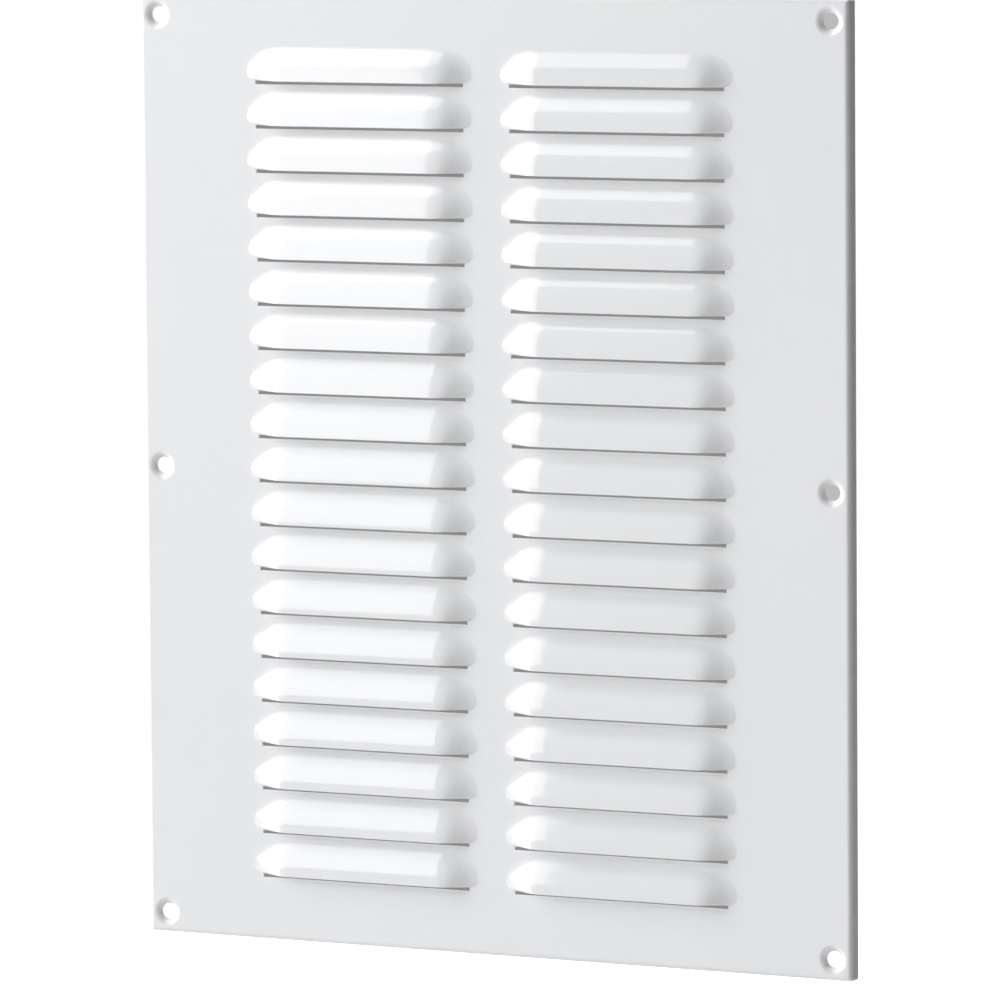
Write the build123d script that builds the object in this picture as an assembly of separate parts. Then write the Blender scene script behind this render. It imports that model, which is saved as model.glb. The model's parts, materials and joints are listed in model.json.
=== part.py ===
"""Pressed ventilation grille: one folded sheet with two columns of louvres and six dimpled screw holes.

Millimetres, +X to the right, +Z up, the louvres facing -Y.
The origin is the middle of the plane in which the rim's back edge meets the wall.
"""

import math
import os

from build123d import *

# Sheet and rim
plate_width = 250.0
plate_height = 300.0
rim_depth = 4.5
sheet = 0.7
bend_radius = 1.5
corner_radius = 1.0

# Louvres
louvre_rows = 19
louvre_columns = 2
louvre_pitch = 14.0
louvre_length = 79.0
column_gap = 11.8
top_margin = 16.7
hood_rise = 10.3
hood_stand_off = 4.2
lip_tilt = 14.0
slit_gap = 1.2
end_facets = 4
fold_height = 2.0
fold_inset = 3.0
fold_slope = 60.0

# Screw holes
hole_diameter = 5.0
hole_inset = 6.5
dimple_diameter = 9.0
dimple_depth = 1.5

# Room by which a cutting form passes the face that it cuts
overcut = 0.5

# Sizes that follow from the ones above
plate_front = -rim_depth
lip_angle = math.radians(lip_tilt)
hood_sweep = 2 * (math.atan2(hood_stand_off, hood_rise) - lip_angle)
hood_radius = math.hypot(hood_rise, hood_stand_off) / (2 * math.sin(hood_sweep / 2))
hood_axis_depth = hood_radius * math.cos(lip_angle) - hood_stand_off
hood_axis_drop = hood_radius * math.sin(lip_angle)
hood_half_straight = louvre_length / 2 - hood_rise
first_lip = plate_height / 2 - top_margin - hood_rise
column_step = louvre_length + column_gap


def pan_form(inset):
    """Solid block of the folded pan, drawn in from the outer faces by an inset."""
    block = Box(
        plate_width - 2 * inset,
        rim_depth - inset,
        plate_height - 2 * inset,
        align=(Align.CENTER, Align.MAX, Align.CENTER),
    )
    front_face = block.faces().sort_by(Axis.Y)[0]
    return fillet(front_face.edges(), radius=bend_radius - inset)


def folded_pan():
    """Plate with its rim folded back all round and its corners eased."""
    corners = RectangleRounded(plate_width, plate_height, corner_radius)
    eased = extrude(Plane.XZ * corners, amount=rim_depth)
    return (pan_form(0) & eased) - pan_form(sheet)


def hood_bar(skin, back, turn, place):
    """Bar with a bowed face that falls away from the lip towards a turn from straight up, in degrees.

    The skin is taken off its outside, and it reaches back behind the plate's front.
    """
    radius = hood_radius - skin
    lip_lean = math.degrees(math.asin(hood_axis_drop / radius))
    root_lean = math.degrees(math.acos((hood_axis_depth - back) / radius))
    with BuildSketch(Plane.YZ) as section:
        with BuildLine():
            face = CenterArc((hood_axis_depth, -hood_axis_drop), radius, 180 - lip_lean, lip_lean - root_lean)
            crown = (face @ 0).X
            Polyline(face @ 1, (back, -louvre_length), (crown, -louvre_length), face @ 0)
        make_face()
    bar = extrude(section.sketch, amount=louvre_length, both=True)
    return Pos(place, 0, 0) * Rot(0, turn, 0) * bar


def fold_plane(side, skin):
    """Plane of the small flat that closes a louvre's lower corner, moved inwards by a skin."""
    run = Vector(side * (fold_height + slit_gap), 0, -fold_inset).normalized()
    slope = math.radians(fold_slope)
    outward = run * math.sin(slope) + Vector(0, -math.cos(slope), 0)
    corner = Vector(side * louvre_length / 2, 0, fold_height)
    return Plane(origin=corner - outward * skin, z_dir=outward)


def hood_form(skin, back, foot):
    """Hood of one louvre with its lip at z = 0, ending a foot below the lip.

    The bowed face is carried round each end in facets, and the lower corners are folded in.
    """
    above_foot = Pos(0, 0, -foot) * Box(
        2 * louvre_length,
        2 * louvre_length,
        louvre_length,
        align=(Align.CENTER, Align.CENTER, Align.MIN),
    )
    hood = hood_bar(skin, back, 0, 0) & above_foot
    for side in (-1, 1):
        for facet in range(1, end_facets + 1):
            turn = side * 90 * facet / end_facets
            hood = hood & hood_bar(skin, back, turn, side * hood_half_straight)
        hood = split(hood, bisect_by=fold_plane(side, skin), keep=Keep.BOTTOM)
    return hood


def louvre_places():
    """Places of all louvres, each at the middle of its lip line on the plate's front."""
    first_column = -(louvre_columns - 1) * column_step / 2
    return [
        Pos(first_column + column * column_step, plate_front, first_lip - row * louvre_pitch)
        for column in range(louvre_columns)
        for row in range(louvre_rows)
    ]


def hole_places():
    """Places of the four corner holes and the two holes halfway up the sides."""
    reach_x = plate_width / 2 - hole_inset
    reach_z = plate_height / 2 - hole_inset
    return [
        Pos(side * reach_x, plate_front, level * reach_z)
        for side in (-1, 1)
        for level in (-1, 0, 1)
    ]


def dimple_form():
    """Pressed cone around a screw hole, the sheet's thickness kept square to the plate."""
    hole_radius = hole_diameter / 2
    dimple_radius = dimple_diameter / 2
    section = Polygon(
        (hole_radius, dimple_depth),
        (dimple_radius, 0),
        (dimple_radius, sheet),
        (hole_radius, dimple_depth + sheet),
        align=None,
    )
    return revolve(section, axis=Axis.Y)


def punch_form():
    """Round punch that clears the sheet for one dimple."""
    return Rot(90, 0, 0) * Cylinder(dimple_diameter / 2, 4 * sheet)


def louvre_plate():
    """The whole grille: pan, louvres and dimpled screw holes as one sheet."""
    hood_outside = hood_form(0, sheet / 2, 0)
    hood_inside = hood_form(sheet, sheet + overcut, slit_gap)
    grille = folded_pan() + [place * hood_outside for place in louvre_places()]
    grille = grille - [place * hood_inside for place in louvre_places()]
    grille = grille - [place * punch_form() for place in hole_places()]
    return grille + [place * dimple_form() for place in hole_places()]


os.makedirs("parts", exist_ok=True)
export_step(louvre_plate(), "parts/louvre_plate.step")
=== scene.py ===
"""Ventilation grille: one pressed sheet with two columns of louvres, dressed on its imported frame."""

import json
import logging
import math
from dataclasses import dataclass, field
from enum import Enum
from typing import Callable

import bmesh
import bpy
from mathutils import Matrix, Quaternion, Vector


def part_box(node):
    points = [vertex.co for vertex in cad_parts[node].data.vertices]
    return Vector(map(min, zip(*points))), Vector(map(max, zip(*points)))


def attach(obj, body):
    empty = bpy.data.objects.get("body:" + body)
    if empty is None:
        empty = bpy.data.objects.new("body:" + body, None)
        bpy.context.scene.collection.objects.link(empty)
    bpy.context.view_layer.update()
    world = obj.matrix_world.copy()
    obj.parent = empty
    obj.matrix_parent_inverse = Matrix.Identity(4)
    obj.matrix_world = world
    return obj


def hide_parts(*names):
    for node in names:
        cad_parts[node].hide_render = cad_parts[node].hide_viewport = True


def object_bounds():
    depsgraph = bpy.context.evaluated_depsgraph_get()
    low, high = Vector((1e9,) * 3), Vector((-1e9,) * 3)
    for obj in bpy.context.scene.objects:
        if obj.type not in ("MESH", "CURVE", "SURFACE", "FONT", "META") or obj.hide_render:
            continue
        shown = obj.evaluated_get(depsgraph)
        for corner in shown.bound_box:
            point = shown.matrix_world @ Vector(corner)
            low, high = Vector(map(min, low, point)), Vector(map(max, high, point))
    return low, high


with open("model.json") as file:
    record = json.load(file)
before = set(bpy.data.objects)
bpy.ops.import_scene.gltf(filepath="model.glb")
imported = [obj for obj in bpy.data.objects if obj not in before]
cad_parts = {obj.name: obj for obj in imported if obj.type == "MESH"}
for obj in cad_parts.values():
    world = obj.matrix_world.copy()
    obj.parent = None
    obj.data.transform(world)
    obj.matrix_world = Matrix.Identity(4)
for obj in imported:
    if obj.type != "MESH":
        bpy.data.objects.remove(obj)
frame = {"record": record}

CAD_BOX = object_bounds()
MM = 0.001
NODE = "louvre_plate"
# In metres: points this close count as one, a step this small as none, and a mirror joins this far.
SAME_PLACE = 1e-6
NO_STEP = 1e-7
MIRROR_JOIN = 1e-5
# Least share of a normal along an axis for a face to be square to it.
SQUARE_ON = 0.9
Tone = tuple[float, float, float, float]
log = logging.getLogger("grille")


class Side(Enum):
    """Left or right, as the sign of X."""

    LEFT = -1
    RIGHT = 1


class Level(Enum):
    """Height of a screw hole, as the sign of Z."""

    LOW = -1
    MIDDLE = 0
    HIGH = 1


def deselect_all() -> None:
    """Leaves edit mode and deselects every object."""
    if bpy.context.mode != "OBJECT":
        bpy.ops.object.mode_set(mode="OBJECT")
    bpy.ops.object.select_all(action="DESELECT")


def open_mesh(piece: bpy.types.Object) -> None:
    """Makes one object active alone and enters its edit mode with nothing selected.

    Args:
        piece: The object to edit.
    """
    deselect_all()
    piece.select_set(True)
    bpy.context.view_layer.objects.active = piece
    bpy.ops.object.mode_set(mode="EDIT")
    bpy.ops.mesh.select_mode(type="VERT")
    bpy.ops.mesh.select_all(action="DESELECT")


def close_mesh() -> None:
    """Leaves edit mode."""
    bpy.ops.object.mode_set(mode="OBJECT")


def pick_points(piece: bpy.types.Object, wanted: Callable[[Vector], bool]) -> None:
    """Selects the points that pass a test, and nothing else.

    Args:
        piece: The object in edit mode.
        wanted: Test on a point's place.
    """
    bpy.ops.mesh.select_mode(type="VERT")
    bpy.ops.mesh.select_all(action="DESELECT")
    mesh = bmesh.from_edit_mesh(piece.data)
    for point in mesh.verts:
        point.select = wanted(point.co)
    mesh.select_flush(True)
    bmesh.update_edit_mesh(piece.data)


def pick_edges(piece: bpy.types.Object, wanted: Callable[[bmesh.types.BMEdge], bool]) -> None:
    """Selects the edges that pass a test, and nothing else.

    Args:
        piece: The object in edit mode.
        wanted: Test on an edge.
    """
    bpy.ops.mesh.select_mode(type="EDGE")
    bpy.ops.mesh.select_all(action="DESELECT")
    mesh = bmesh.from_edit_mesh(piece.data)
    for edge in mesh.edges:
        edge.select_set(wanted(edge))
    bmesh.update_edit_mesh(piece.data)


def pick_faces(piece: bpy.types.Object, wanted: Callable[[bmesh.types.BMFace], bool]) -> None:
    """Selects the faces that pass a test, and nothing else.

    Args:
        piece: The object in edit mode.
        wanted: Test on a face.
    """
    bpy.ops.mesh.select_mode(type="FACE")
    bpy.ops.mesh.select_all(action="DESELECT")
    mesh = bmesh.from_edit_mesh(piece.data)
    for face in mesh.faces:
        face.select_set(wanted(face))
    bmesh.update_edit_mesh(piece.data)


def apply_modifier(piece: bpy.types.Object, kind: str, **settings: object) -> None:
    """Adds a modifier to one object, sets it and applies it.

    Args:
        piece: The object.
        kind: Blender's name of the modifier type.
        settings: The modifier's own settings.
    """
    deselect_all()
    piece.select_set(True)
    bpy.context.view_layer.objects.active = piece
    modifier = piece.modifiers.new(kind.title(), kind)
    for name, value in settings.items():
        setattr(modifier, name, value)
    bpy.ops.object.modifier_apply(modifier=modifier.name)


def join_pieces(pieces: list[bpy.types.Object], name: str) -> bpy.types.Object:
    """Joins objects into the first of them.

    Args:
        pieces: The objects.
        name: Name of the result.

    Returns:
        The joined object.
    """
    deselect_all()
    for piece in pieces:
        piece.select_set(True)
    bpy.context.view_layer.objects.active = pieces[0]
    bpy.ops.object.join()
    joined = bpy.context.view_layer.objects.active
    joined.name = name
    joined.data.name = name
    return joined


def ease(share: float) -> float:
    """Smooth step from 0 to 1, level at both ends.

    Args:
        share: Place in the step, from 0 to 1.

    Returns:
        The height of the step there.
    """
    return share * share * (3 - 2 * share)


def look_along(way: Vector, roll: float) -> Quaternion:
    """Turn of a lamp or camera that faces along a direction.

    Args:
        way: The direction.
        roll: Turn about that direction, in radians.

    Returns:
        The turn.
    """
    return way.to_track_quat("-Z", "Y") @ Quaternion((0, 0, 1), roll)


def bare_material(name: str) -> bpy.types.Material:
    """Makes a material with an empty node tree.

    Args:
        name: Name of the material.

    Returns:
        The material.
    """
    finish = bpy.data.materials.new(name)
    finish.use_nodes = True
    finish.node_tree.nodes.clear()
    return finish


def seen_ray(tree: bpy.types.NodeTree) -> bpy.types.NodeSocket:
    """Adds nodes that give 1 for camera, glossy and transmission rays, and 0 for others.

    Args:
        tree: The node tree.

    Returns:
        The socket with that value.
    """
    path = tree.nodes.new("ShaderNodeLightPath")
    total = path.outputs["Is Camera Ray"]
    for name in ("Is Glossy Ray", "Is Transmission Ray"):
        larger = tree.nodes.new("ShaderNodeMath")
        larger.operation = "MAXIMUM"
        tree.links.new(total, larger.inputs[0])
        tree.links.new(path.outputs[name], larger.inputs[1])
        total = larger.outputs["Value"]
    return total


@dataclass(frozen=True)
class GlossPaint:
    """Smooth glossy white paint on steel sheet, with a slight ripple and faint unevenness."""

    name: str = "gloss_white_paint"
    light_tone: Tone = (0.83, 0.837, 0.85, 1.0)
    dull_tone: Tone = (0.8, 0.809, 0.825, 1.0)
    cloud_scale: float = 14.0
    cloud_detail: float = 4.0
    roughness_low: float = 0.03
    roughness_high: float = 0.06
    ripple_scale: float = 420.0
    ripple_detail: float = 1.0
    ripple_height: float = 0.02 * MM
    ripple_strength: float = 0.12
    refraction: float = 1.5

    def material(self) -> bpy.types.Material:
        """Builds the paint's nodes on Object coordinates.

        Returns:
            The material.
        """
        paint = bpy.data.materials.new(self.name)
        paint.use_nodes = True
        nodes = paint.node_tree.nodes
        links = paint.node_tree.links
        shader = nodes["Principled BSDF"]
        shader.inputs["IOR"].default_value = self.refraction
        place = nodes.new("ShaderNodeTexCoord")

        clouds = nodes.new("ShaderNodeTexNoise")
        clouds.inputs["Scale"].default_value = self.cloud_scale
        clouds.inputs["Detail"].default_value = self.cloud_detail
        links.new(place.outputs["Object"], clouds.inputs["Vector"])

        tone = nodes.new("ShaderNodeMix")
        tone.data_type = "RGBA"
        tone.inputs["A"].default_value = self.dull_tone
        tone.inputs["B"].default_value = self.light_tone
        links.new(clouds.outputs["Fac"], tone.inputs["Factor"])
        links.new(tone.outputs["Result"], shader.inputs["Base Color"])

        gloss = nodes.new("ShaderNodeMapRange")
        gloss.inputs["To Min"].default_value = self.roughness_low
        gloss.inputs["To Max"].default_value = self.roughness_high
        links.new(clouds.outputs["Fac"], gloss.inputs["Value"])
        links.new(gloss.outputs["Result"], shader.inputs["Roughness"])

        ripple = nodes.new("ShaderNodeTexNoise")
        ripple.inputs["Scale"].default_value = self.ripple_scale
        ripple.inputs["Detail"].default_value = self.ripple_detail
        links.new(place.outputs["Object"], ripple.inputs["Vector"])
        bump = nodes.new("ShaderNodeBump")
        bump.inputs["Strength"].default_value = self.ripple_strength
        bump.inputs["Distance"].default_value = self.ripple_height
        links.new(ripple.outputs["Fac"], bump.inputs["Height"])
        links.new(bump.outputs["Normal"], shader.inputs["Normal"])
        return paint


@dataclass
class Louvre:
    """One pressed louvre: a hood that leans out from the plate to a free lip above a slit.

    Levels count up from the lip, at 0, to the root, at reach. The hood keeps its full height out to
    lip_straight at the lip and top_straight at the root, and sinks from there to the outline of its end.
    The outline is furthest out at tip_height, past the length by end_foot and by the rounding at the root.
    """

    plate_front: float
    stand_off: float
    length: float = 79.0 * MM
    rise: float = 10.3 * MM
    slit_gap: float = 1.2 * MM
    slit_half: float = 37.3 * MM
    lip_tilt: float = math.radians(14.0)
    root_round: float = 0.5 * MM
    tip_height: float = 2.6 * MM
    end_foot: float = 0.2 * MM
    end_round: float = 10.5 * MM
    lip_straight: float = 26.0 * MM
    top_straight: float = 25.0 * MM
    wave_power: float = 0.85
    dome_power: float = 0.5
    dome_share: float = 0.36
    land: float = 1.2 * MM
    face_shares: tuple[float, ...] = (0.09, 0.19, 0.3, 0.42, 0.54, 0.65, 0.74, 0.81, 0.87, 0.92, 0.96, 1.0)
    station_shares: tuple[float, ...] = (0.04, 0.08, 0.12, 0.16, 0.2, 1.0)
    end_steps: int = 16
    end_sweep: float = math.radians(120.0)
    tip_sweep: float = math.radians(82.0)
    face_radius: float = field(init=False)
    axis_depth: float = field(init=False)
    axis_drop: float = field(init=False)
    reach: float = field(init=False)
    tip_x: float = field(init=False)
    end_x: float = field(init=False)

    def __post_init__(self) -> None:
        """Works out the bowed face from its rise, its stand-off and its tilt at the lip."""
        sweep = 2 * (math.atan2(self.stand_off, self.rise) - self.lip_tilt)
        self.face_radius = math.hypot(self.rise, self.stand_off) / (2 * math.sin(sweep / 2))
        self.axis_depth = self.face_radius * math.cos(self.lip_tilt) - self.stand_off
        self.axis_drop = self.face_radius * math.sin(self.lip_tilt)
        foot = self.axis_depth - self.root_round
        self.reach = math.sqrt(self.face_radius**2 - foot**2) - self.axis_drop
        self.tip_x = self.length / 2 + self.reach - self.rise + self.end_foot
        self.end_x = self.tip_x - self.end_round

    def face_height(self, level: float) -> float:
        """Height of the long face off the plate, rounded where it meets the plate.

        Args:
            level: Distance above the lip.

        Returns:
            The height off the plate's front.
        """
        height = math.sqrt(self.face_radius**2 - (level + self.axis_drop) ** 2) - self.axis_depth
        if height > self.root_round:
            return height
        return max(height + self.root_round, 0.0) ** 2 / (4 * self.root_round)

    def edge_x(self, level: float) -> float:
        """Distance from the louvre's middle to the outline of its end.

        Args:
            level: Distance above the lip.

        Returns:
            The distance along X.
        """
        if level < self.tip_height:
            below = min(1 - level / self.tip_height, 1.0)
            return self.slit_half + (self.tip_x - self.slit_half) * math.sqrt(1 - below**2)
        share = min((level - self.tip_height) / (self.reach - self.tip_height), 1.0)
        return self.end_x + self.end_round * math.sqrt(1 - share**2)

    def hood_height(self, x: float, level: float) -> float:
        """Height of the hood off the plate, which at the end is a wave mixed with a rounder dome.

        Args:
            x: Distance from the louvre's middle.
            level: Distance above the lip.

        Returns:
            The height off the plate's front.
        """
        straight = self.lip_straight + (self.top_straight - self.lip_straight) * level / self.reach
        edge = self.edge_x(level)
        inside = min(max((edge - x) / max(edge - straight, self.root_round), 0.0), 1.0)
        wave = ease(ease(inside**self.wave_power))
        dome = ease(inside**self.dome_power)
        return self.face_height(level) * (wave + (dome - wave) * self.dome_share)

    def outline(self, turn: float) -> Vector:
        """Outline of the hood's end on the plate, from its top edge round to the slit.

        Args:
            turn: Angle of the drawn spoke from straight up, in radians.

        Returns:
            The point in the plate's plane, as (x, z).
        """
        if turn < self.tip_sweep:
            part = math.pi / 2 * turn / self.tip_sweep
            level = self.tip_height + (self.reach - self.tip_height) * math.cos(part)
            return Vector((self.end_x + self.end_round * math.sin(part), level))
        level = self.tip_height * (self.end_sweep - turn) / (self.end_sweep - self.tip_sweep)
        return Vector((self.edge_x(level), level))

    def press(self, piece: bpy.types.Object) -> None:
        """Draws the blank's round end in to its outline and presses the hood out of the plate.

        Args:
            piece: The flat blank in edit mode.
        """
        centre = Vector((self.end_x, 0.0))
        mesh = bmesh.from_edit_mesh(piece.data)
        for point in mesh.verts:
            across, level = point.co.x - self.end_x, point.co.z
            if across > NO_STEP:
                radius = math.hypot(across, level)
                edge = self.outline(min(math.atan2(across, level), self.end_sweep))
                spoke = edge - centre
                placed = centre + spoke * min(radius / self.reach, 1.0)
                placed += spoke.normalized() * max(radius - self.reach, 0.0)
                point.co.x, point.co.z = placed.x, placed.y
                if radius > self.reach - NO_STEP:
                    continue
            point.co.y = self.plate_front - self.hood_height(point.co.x, point.co.z)
        bmesh.update_edit_mesh(piece.data)

    def in_plate(self, place: Vector) -> bool:
        """Says whether a point lies in the plate's front plane."""
        return abs(place.y - self.plate_front) < SAME_PLACE

    def build(self) -> bpy.types.Object:
        """Models the louvre's front skin with its lip line at z = 0 and its middle at x = 0.

        Returns:
            The louvre, open at its slit, with a flat land round its root.
        """
        deselect_all()
        corner = (self.end_x, self.plate_front, 0.0)
        bpy.ops.mesh.primitive_plane_add(size=self.land, location=corner)
        piece = bpy.context.view_layer.objects.active
        bpy.ops.object.transform_apply(location=True, rotation=True, scale=True)
        open_mesh(piece)
        bpy.ops.mesh.select_all(action="SELECT")
        bpy.ops.mesh.merge(type="CENTER")
        bpy.ops.mesh.select_all(action="SELECT")
        levels = [share * self.reach for share in self.face_shares] + [self.reach + self.land]
        for below, above in zip([0.0, *levels], levels):
            bpy.ops.mesh.extrude_region_move(TRANSFORM_OT_translate={"value": (0.0, 0.0, above - below)})
        bpy.ops.mesh.select_all(action="SELECT")
        bpy.ops.mesh.spin(steps=self.end_steps, angle=self.end_sweep, center=corner, axis=(0.0, -1.0, 0.0))
        pick_points(piece, lambda place: abs(place.x - self.end_x) < SAME_PLACE and place.z > -SAME_PLACE)
        for outer, inner in zip((0.0, *self.station_shares), self.station_shares):
            step = (outer - inner) * self.end_x
            bpy.ops.mesh.extrude_region_move(TRANSFORM_OT_translate={"value": (step, 0.0, 0.0)})
        bpy.ops.mesh.select_all(action="SELECT")
        bpy.ops.mesh.remove_doubles(threshold=SAME_PLACE)
        self.press(piece)
        close_mesh()
        apply_modifier(piece, "MIRROR", use_axis=(True, False, False), merge_threshold=MIRROR_JOIN)
        self.close_slit(piece)
        return piece

    def close_slit(self, piece: bpy.types.Object) -> None:
        """Adds the slit's two ends and its lower edge, so that the land's outline is one closed loop.

        Args:
            piece: The louvre.
        """
        open_mesh(piece)
        mesh = bmesh.from_edit_mesh(piece.data)
        for point in mesh.verts:
            rim = [edge for edge in point.link_edges if edge.is_boundary]
            flat = [edge for edge in rim if self.in_plate(edge.other_vert(point).co)]
            point.select_set(self.in_plate(point.co) and len(rim) == 2 and len(flat) == 1)
        bmesh.update_edit_mesh(piece.data)
        bpy.ops.mesh.extrude_vertices_move(TRANSFORM_OT_translate={"value": (0.0, 0.0, -self.slit_gap)})
        bpy.ops.mesh.edge_face_add()
        close_mesh()


@dataclass
class LouvreField:
    """All louvres: equal rows in equal columns."""

    louvre: Louvre
    top_edge: float
    rows: int = 19
    columns: int = 2
    pitch: float = 14.0 * MM
    column_gap: float = 11.8 * MM
    top_margin: float = 16.7 * MM

    def build(self) -> bpy.types.Object:
        """Models one louvre and repeats it down the rows and across the columns.

        Returns:
            The louvres as one object.
        """
        piece = self.louvre.build()
        step = self.louvre.length + self.column_gap
        first_x = -(self.columns - 1) * step / 2
        first_z = self.top_edge - self.top_margin - self.louvre.rise
        open_mesh(piece)
        bpy.ops.mesh.select_all(action="SELECT")
        bpy.ops.transform.translate(value=(first_x, 0.0, first_z))
        close_mesh()
        for count, offset in ((self.rows, (0.0, 0.0, -self.pitch)), (self.columns, (step, 0.0, 0.0))):
            apply_modifier(
                piece,
                "ARRAY",
                count=count,
                use_relative_offset=False,
                use_constant_offset=True,
                constant_offset_displace=offset,
            )
        log.info("louvres: %d rows in %d columns", self.rows, self.columns)
        return piece


@dataclass
class Dimple:
    """Screw hole in the middle of a pressed cone."""

    plate_front: float
    hole_radius: float
    cone_radius: float = 4.0 * MM
    depth: float = 1.5 * MM
    land: float = 0.9 * MM
    bend: float = 0.85 * MM
    bend_segments: int = 5
    points: int = 48

    def build(self, centre_x: float, centre_z: float) -> bpy.types.Object:
        """Models one dimple in its place.

        Args:
            centre_x: Place across the plate.
            centre_z: Height on the plate.

        Returns:
            The dimple's front skin.
        """
        deselect_all()
        centre = Vector((centre_x, self.plate_front, centre_z))
        outer = self.cone_radius + self.land
        bpy.ops.mesh.primitive_circle_add(
            vertices=self.points,
            radius=outer,
            rotation=(math.pi / 2, 0.0, 0.0),
            location=centre,
        )
        piece = bpy.context.view_layer.objects.active
        bpy.ops.object.transform_apply(location=True, rotation=True, scale=True)
        open_mesh(piece)
        bpy.ops.mesh.select_all(action="SELECT")
        radius = outer
        for station, sink in ((self.cone_radius, 0.0), (self.hole_radius, self.depth)):
            bpy.ops.mesh.extrude_region_move(TRANSFORM_OT_translate={"value": (0.0, sink, 0.0)})
            shrink = station / radius
            bpy.ops.transform.resize(value=(shrink, 1.0, shrink), center_override=centre)
            radius = station
        ring = self.cone_radius + self.land / 2

        def on_cone_edge(edge: bmesh.types.BMEdge) -> bool:
            """Says whether an edge lies on the line where the cone leaves the plate."""
            flat = all(abs(point.co.y - self.plate_front) < SAME_PLACE for point in edge.verts)
            return flat and all((point.co - centre).length < ring for point in edge.verts)

        pick_edges(piece, on_cone_edge)
        bpy.ops.mesh.bevel(offset=self.bend, segments=self.bend_segments, affect="EDGES")
        close_mesh()
        return piece


@dataclass
class Pan:
    """Rim of the plate: a flange folded back all round, with eased corners."""

    width: float
    height: float
    depth: float
    bend_radius: float = 1.5 * MM
    bend_segments: int = 8
    corner_ease: float = 0.7 * MM
    corner_segments: int = 3

    def on_mitre(self, edge: bmesh.types.BMEdge) -> bool:
        """Says whether an edge lies on a corner of the rim, where two flanges meet.

        Args:
            edge: The edge.

        Returns:
            True for an edge that runs in depth at a corner.
        """
        reach_x = self.width / 2 - self.bend_radius - SAME_PLACE
        reach_z = self.height / 2 - self.bend_radius - SAME_PLACE
        corner = all(abs(point.co.x) > reach_x and abs(point.co.z) > reach_z for point in edge.verts)
        deep = abs(edge.verts[0].co.y - edge.verts[1].co.y) > NO_STEP
        return corner and deep

    def build(self) -> bpy.types.Object:
        """Models the folded rim, open at the back and at the front.

        Returns:
            The rim's outer skin.
        """
        deselect_all()
        bpy.ops.mesh.primitive_cube_add(size=1.0, location=(0.0, -self.depth / 2, 0.0))
        piece = bpy.context.view_layer.objects.active
        piece.scale = (self.width, self.depth, self.height)
        bpy.ops.object.transform_apply(location=True, rotation=True, scale=True)
        open_mesh(piece)
        pick_faces(piece, lambda face: face.normal.y > SQUARE_ON)
        bpy.ops.mesh.delete(type="FACE")
        front = -self.depth + SAME_PLACE
        pick_edges(piece, lambda edge: all(point.co.y < front for point in edge.verts))
        bpy.ops.mesh.bevel(offset=self.bend_radius, segments=self.bend_segments, affect="EDGES")
        pick_edges(piece, self.on_mitre)
        bpy.ops.mesh.bevel(offset=self.corner_ease, segments=self.corner_segments, affect="EDGES")
        pick_faces(piece, lambda face: face.calc_area() > self.width * self.height / 2)
        bpy.ops.mesh.delete(type="ONLY_FACE")
        close_mesh()
        return piece


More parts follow.
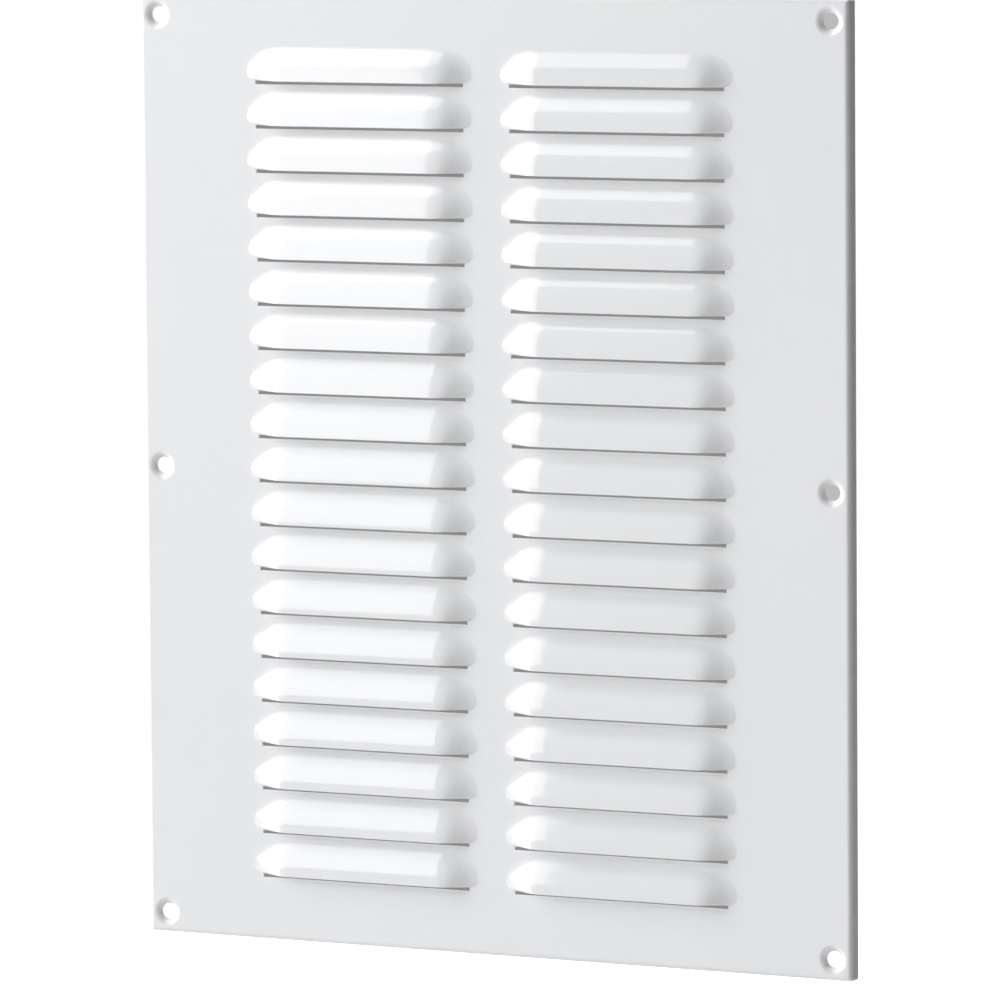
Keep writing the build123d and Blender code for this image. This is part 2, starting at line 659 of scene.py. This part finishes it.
@dataclass
class Grille:
    """The whole grille as one pressed sheet."""

    rim_depth: float = 4.5 * MM
    sheet: float = 0.7 * MM
    edge_round: float = 0.28 * MM
    edge_segments: int = 3
    edge_angle: float = math.radians(60.0)
    smooth_angle: float = math.radians(40.0)
    width: float = field(init=False)
    height: float = field(init=False)
    stand_off: float = field(init=False)

    def __post_init__(self) -> None:
        """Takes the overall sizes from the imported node."""
        low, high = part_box(NODE)
        self.width = high[0] - low[0]
        self.height = high[2] - low[2]
        self.stand_off = -low[1] - self.rim_depth

    def dimples(self) -> list[bpy.types.Object]:
        """Models the six screw holes where the record's mounts say.

        Returns:
            The dimples.
        """
        dims = next(m["dims"] for m in frame["record"]["mounts"] if m["name"] == "corner_screws")
        reach_x = dims["spacing_x_mm"] * MM / 2
        reach_z = dims["spacing_y_mm"] * MM / 2
        dimple = Dimple(plate_front=-self.rim_depth, hole_radius=dims["hole_r_mm"] * MM)
        return [
            dimple.build(side.value * reach_x, level.value * reach_z)
            for side in Side
            for level in Level
        ]

    def build(self) -> bpy.types.Object:
        """Models the front skin, fills the plate between its forms and gives it the sheet's thickness.

        Returns:
            The finished grille.
        """
        front = -self.rim_depth
        louvre = Louvre(plate_front=front, stand_off=self.stand_off)
        louvres = LouvreField(louvre=louvre, top_edge=self.height / 2).build()
        rim = Pan(width=self.width, height=self.height, depth=self.rim_depth).build()
        piece = join_pieces([louvres, rim, *self.dimples()], "pressed_grille")

        open_mesh(piece)

        def on_plate_rim(edge: bmesh.types.BMEdge) -> bool:
            """Says whether an edge bounds the flat plate."""
            flat = all(abs(point.co.y - front) < SAME_PLACE for point in edge.verts)
            return flat and len(edge.link_faces) < 2

        pick_edges(piece, on_plate_rim)
        bpy.ops.mesh.fill(use_beauty=True)
        bpy.ops.mesh.select_all(action="SELECT")
        bpy.ops.mesh.remove_doubles(threshold=SAME_PLACE)
        bpy.ops.mesh.normals_make_consistent(inside=False)
        close_mesh()
        largest = max(piece.data.polygons, key=lambda face: face.area)
        if largest.normal.y > 0:
            open_mesh(piece)
            bpy.ops.mesh.select_all(action="SELECT")
            bpy.ops.mesh.flip_normals()
            close_mesh()
        apply_modifier(piece, "SOLIDIFY", thickness=self.sheet, offset=-1.0, use_even_offset=True)
        apply_modifier(
            piece,
            "BEVEL",
            width=self.edge_round,
            segments=self.edge_segments,
            limit_method="ANGLE",
            angle_limit=self.edge_angle,
        )
        bpy.ops.object.shade_smooth_by_angle(angle=self.smooth_angle)
        apply_modifier(piece, "WEIGHTED_NORMAL", keep_sharp=True)
        log.info("grille: %d faces", len(piece.data.polygons))
        return piece

    def dress(self, piece: bpy.types.Object, paint: GlossPaint) -> None:
        """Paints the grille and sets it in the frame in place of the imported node.

        Args:
            piece: The finished grille.
            paint: Its finish.
        """
        piece.data.materials.clear()
        piece.data.materials.append(paint.material())
        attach(piece, "root")
        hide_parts(NODE)


@dataclass(frozen=True)
class Lamp:
    """One soft lamp that faces a point."""

    name: str
    place: tuple[float, float, float]
    aim: tuple[float, float, float]
    width: float
    height: float
    radiance: float
    roll: float = 0.0
    in_reflections: bool = True

    def build(self) -> bpy.types.Object:
        """Adds the lamp to the scene.

        Returns:
            The lamp.
        """
        data = bpy.data.lights.new(self.name, "AREA")
        data.shape = "RECTANGLE"
        data.size = self.width
        data.size_y = self.height
        data.energy = self.radiance * math.pi * self.width * self.height
        lamp = bpy.data.objects.new(self.name, data)
        bpy.context.scene.collection.objects.link(lamp)
        facing = Vector(self.aim) - Vector(self.place)
        lamp.location = self.place
        lamp.rotation_mode = "QUATERNION"
        lamp.rotation_quaternion = look_along(facing, self.roll)
        lamp.visible_glossy = self.in_reflections
        lamp.visible_camera = False
        log.info("lamp %s: %.1f W", self.name, data.energy)
        return lamp


@dataclass
class Studio:
    """Pale floor, white surroundings, glowing patches that paint the shade of the wall behind the openings,
    a dark card and the soft lamps.
    """

    floor_drop: float = 0.25
    floor_half: float = 12.0
    floor_tone: Tone = (0.82, 0.82, 0.82, 1.0)
    seen_tone: Tone = (0.45, 0.45, 0.45, 1.0)
    white: Tone = (1.0, 1.0, 1.0, 1.0)
    near_glow: float = 0.3
    near_reach: float = 1.5
    ambient: float = 0.04
    # Glow of the patches behind the slits and the right-hand holes: painted shade of the wall behind, which
    # lies in the grille's shadow.
    slit_glow: float = 0.25
    hole_glow: float = 0.5
    slit_margin: float = 38.0 * MM
    hole_margin: float = 4.0 * MM
    foot_margin: float = 14.0 * MM
    hole_foot: float = 80.0 * MM
    shade_patch_gap: float = 1.0 * MM
    card_tone: Tone = (0.02, 0.02, 0.02, 1.0)
    card_place: tuple[float, float, float] = (0.7, 1.0, 0.1)
    card_depth: float = 3.2
    card_height: float = 2.0

    def lamps(self) -> list[Lamp]:
        """Lists the lamps.

        Returns:
            The key and side lights from the left, a small one above, and the fills from front and back.
        """
        centre = (0.0, 0.0, 0.0)
        return [
            Lamp(
                name="key_softbox",
                place=(-1.147, -0.741, 0.81),
                aim=(0.101, 0.0, 0.026),
                width=1.069,
                height=1.102,
                radiance=3.5,
                roll=math.radians(33.2),
            ),
            Lamp(
                name="top_softbox",
                place=(-0.242, -0.26, 0.451),
                aim=(0.447, 0.0, 0.051),
                width=0.22,
                height=0.15,
                radiance=3.0,
                roll=math.radians(44.7),
            ),
            Lamp(name="side_key", place=(-6.84, -3.2, 0.8), aim=centre, width=4.8, height=4.8, radiance=6.8),
            Lamp(
                name="front_fill",
                place=(0.35, -0.9, -0.05),
                aim=centre,
                width=0.5,
                height=0.5,
                radiance=2.0,
                in_reflections=False,
            ),
            Lamp(
                name="back_fill",
                place=(-0.5, 1.0, 1.6),
                aim=centre,
                width=1.2,
                height=1.2,
                radiance=7.0,
                in_reflections=False,
            ),
        ]

    def floor_finish(self) -> bpy.types.Material:
        """Builds a matt finish with a glow that grows with the distance.

        The glow, and a darker tone on which shadows show, act only on what the camera and reflections see.

        Returns:
            The material.
        """
        finish = bare_material("pale_floor")
        nodes = finish.node_tree.nodes
        links = finish.node_tree.links
        seen = seen_ray(finish.node_tree)
        place = nodes.new("ShaderNodeTexCoord")
        far = nodes.new("ShaderNodeVectorMath")
        far.operation = "LENGTH"
        links.new(place.outputs["Object"], far.inputs[0])
        glow = nodes.new("ShaderNodeMapRange")
        glow.inputs["From Max"].default_value = self.near_reach
        glow.inputs["To Min"].default_value = self.near_glow
        links.new(far.outputs["Value"], glow.inputs["Value"])
        strength = nodes.new("ShaderNodeMath")
        strength.operation = "MULTIPLY"
        links.new(glow.outputs["Result"], strength.inputs[0])
        links.new(seen, strength.inputs[1])
        shine = nodes.new("ShaderNodeEmission")
        links.new(strength.outputs["Value"], shine.inputs["Strength"])

        tone = nodes.new("ShaderNodeMix")
        tone.data_type = "RGBA"
        tone.inputs["A"].default_value = self.floor_tone
        tone.inputs["B"].default_value = self.seen_tone
        links.new(seen, tone.inputs["Factor"])
        matt = nodes.new("ShaderNodeBsdfDiffuse")
        links.new(tone.outputs["Result"], matt.inputs["Color"])

        both = nodes.new("ShaderNodeAddShader")
        links.new(matt.outputs["BSDF"], both.inputs[0])
        links.new(shine.outputs["Emission"], both.inputs[1])
        output = nodes.new("ShaderNodeOutputMaterial")
        links.new(both.outputs["Shader"], output.inputs["Surface"])
        return finish

    def build_floor(self, level: float) -> bpy.types.Object:
        """Adds the floor, which takes shadows near the object and turns white further off.

        Args:
            level: Height of the object's lowest edge.

        Returns:
            The floor.
        """
        deselect_all()
        place = (0.0, 0.0, level - self.floor_drop)
        bpy.ops.mesh.primitive_plane_add(size=2 * self.floor_half, location=place)
        floor = bpy.context.view_layer.objects.active
        floor.name = "floor"
        floor.data.materials.append(self.floor_finish())
        return floor

    def build_world(self) -> None:
        """Sets surroundings that look white and light the object weakly."""
        world = bpy.data.worlds.new("white_surroundings")
        world.use_nodes = True
        tree = world.node_tree
        level = tree.nodes.new("ShaderNodeMapRange")
        level.inputs["To Min"].default_value = self.ambient
        tree.links.new(seen_ray(tree), level.inputs["Value"])
        back = tree.nodes["Background"]
        back.inputs["Color"].default_value = self.white
        tree.links.new(level.outputs["Result"], back.inputs["Strength"])
        bpy.context.scene.world = world

    def shade_patch_finish(self, name: str, glow: float) -> bpy.types.Material:
        """Builds painted shade: a dim even glow on the front of a patch, in place of the wall behind the
        sheet in the grille's shadow, and clear air on its back.

        Args:
            name: Name of the material.
            glow: Strength of the glow.

        Returns:
            The material.
        """
        finish = bare_material(name)
        nodes = finish.node_tree.nodes
        links = finish.node_tree.links
        facing = nodes.new("ShaderNodeNewGeometry")
        shade = nodes.new("ShaderNodeEmission")
        # Painted shade: a fixed glow in place of the shaded wall behind the openings.
        shade.inputs["Strength"].default_value = glow
        clear = nodes.new("ShaderNodeBsdfTransparent")
        pick = nodes.new("ShaderNodeMixShader")
        links.new(facing.outputs["Backfacing"], pick.inputs["Fac"])
        links.new(shade.outputs["Emission"], pick.inputs[1])
        links.new(clear.outputs["BSDF"], pick.inputs[2])
        output = nodes.new("ShaderNodeOutputMaterial")
        links.new(pick.outputs["Shader"], output.inputs["Surface"])
        return finish

    def build_shade_patch(self, name: str, low: Vector, high: Vector, glow: float) -> bpy.types.Object:
        """Adds a glowing patch close behind the object, which shows to the camera alone and paints the shade
        of the wall behind the openings.

        Args:
            name: Name of the patch.
            low: Its lowest corner.
            high: Its highest corner.
            glow: Strength of its glow.

        Returns:
            The wall patch.
        """
        deselect_all()
        place = (low + high) / 2
        bpy.ops.mesh.primitive_plane_add(size=1.0, rotation=(math.pi / 2, 0.0, 0.0), location=place)
        shade_patch = bpy.context.view_layer.objects.active
        shade_patch.name = name
        shade_patch.scale = (high.x - low.x, high.z - low.z, 1.0)
        shade_patch.data.materials.append(self.shade_patch_finish(name, glow))
        shade_patch.visible_diffuse = False
        shade_patch.visible_glossy = False
        shade_patch.visible_shadow = False
        shade_patch.visible_transmission = False
        return shade_patch

    def build_card(self) -> bpy.types.Object:
        """Adds a dark card on the right, which shows only in the paint's reflections.

        Returns:
            The card.
        """
        deselect_all()
        turn = (0.0, math.pi / 2, 0.0)
        bpy.ops.mesh.primitive_plane_add(size=1.0, rotation=turn, location=self.card_place)
        card = bpy.context.view_layer.objects.active
        card.name = "dark_card"
        card.scale = (self.card_height, self.card_depth, 1.0)
        finish = bpy.data.materials.new("dark_card")
        finish.use_nodes = True
        finish.node_tree.nodes["Principled BSDF"].inputs["Base Color"].default_value = self.card_tone
        card.data.materials.append(finish)
        card.visible_camera = False
        card.visible_diffuse = False
        card.visible_shadow = False
        card.visible_transmission = False
        return card

    def build(self) -> None:
        """Builds the stage round the object."""
        low, high = CAD_BOX
        self.build_world()
        floor = self.build_floor(low.z)
        # Painted shade seen through the slits and through the right-hand holes.
        depth = high.y + self.shade_patch_gap
        slit_low = Vector((low.x + self.slit_margin, depth, low.z + self.foot_margin))
        slit_high = Vector((high.x - self.slit_margin, depth, high.z - self.foot_margin))
        slit_shade_patch = self.build_shade_patch("slit_shade_patch", slit_low, slit_high, self.slit_glow)
        hole_low = Vector((high.x - self.foot_margin, depth, low.z + self.hole_foot))
        hole_high = Vector((high.x - self.hole_margin, depth, high.z - self.hole_margin))
        hole_shade_patch = self.build_shade_patch("hole_shade_patch", hole_low, hole_high, self.hole_glow)
        lamps = [lamp.build() for lamp in self.lamps()]
        self.build_card()
        log.info("stage: floor, two wall patches, a dark card and %d lamps", len(lamps))


@dataclass(frozen=True)
class PhotoCamera:
    """Camera at the photograph's viewing angle."""

    target: tuple[float, float, float] = (3.85 * MM, -4.5 * MM, -6.48 * MM)
    distance: float = 2.4715
    azimuth: float = math.radians(28.5)
    elevation: float = math.radians(5.42)
    roll: float = math.radians(-0.45)
    lens: float = 285.74
    sensor: float = 36.0
    far_clip: float = 100.0

    def build(self) -> bpy.types.Object:
        """Adds the camera and makes it the scene's own.

        Returns:
            The camera.
        """
        data = bpy.data.cameras.new("photo_camera")
        data.lens = self.lens
        data.sensor_width = self.sensor
        data.clip_end = self.far_clip
        camera = bpy.data.objects.new("photo_camera", data)
        bpy.context.scene.collection.objects.link(camera)
        level = math.cos(self.elevation)
        back = Vector((
            math.sin(self.azimuth) * level,
            -math.cos(self.azimuth) * level,
            math.sin(self.elevation),
        ))
        camera.location = Vector(self.target) + back * self.distance
        camera.rotation_mode = "QUATERNION"
        camera.rotation_quaternion = look_along(-back, self.roll)
        bpy.context.scene.camera = camera
        return camera


def main() -> None:
    """Builds the grille, its stage and the camera in order."""
    logging.basicConfig(level=logging.INFO, format="%(name)s %(message)s")
    bpy.context.scene.view_settings.view_transform = "Standard"
    grille = Grille()
    piece = grille.build()
    grille.dress(piece, GlossPaint())
    Studio().build()
    PhotoCamera().build()


if __name__ == "__main__":
    main()
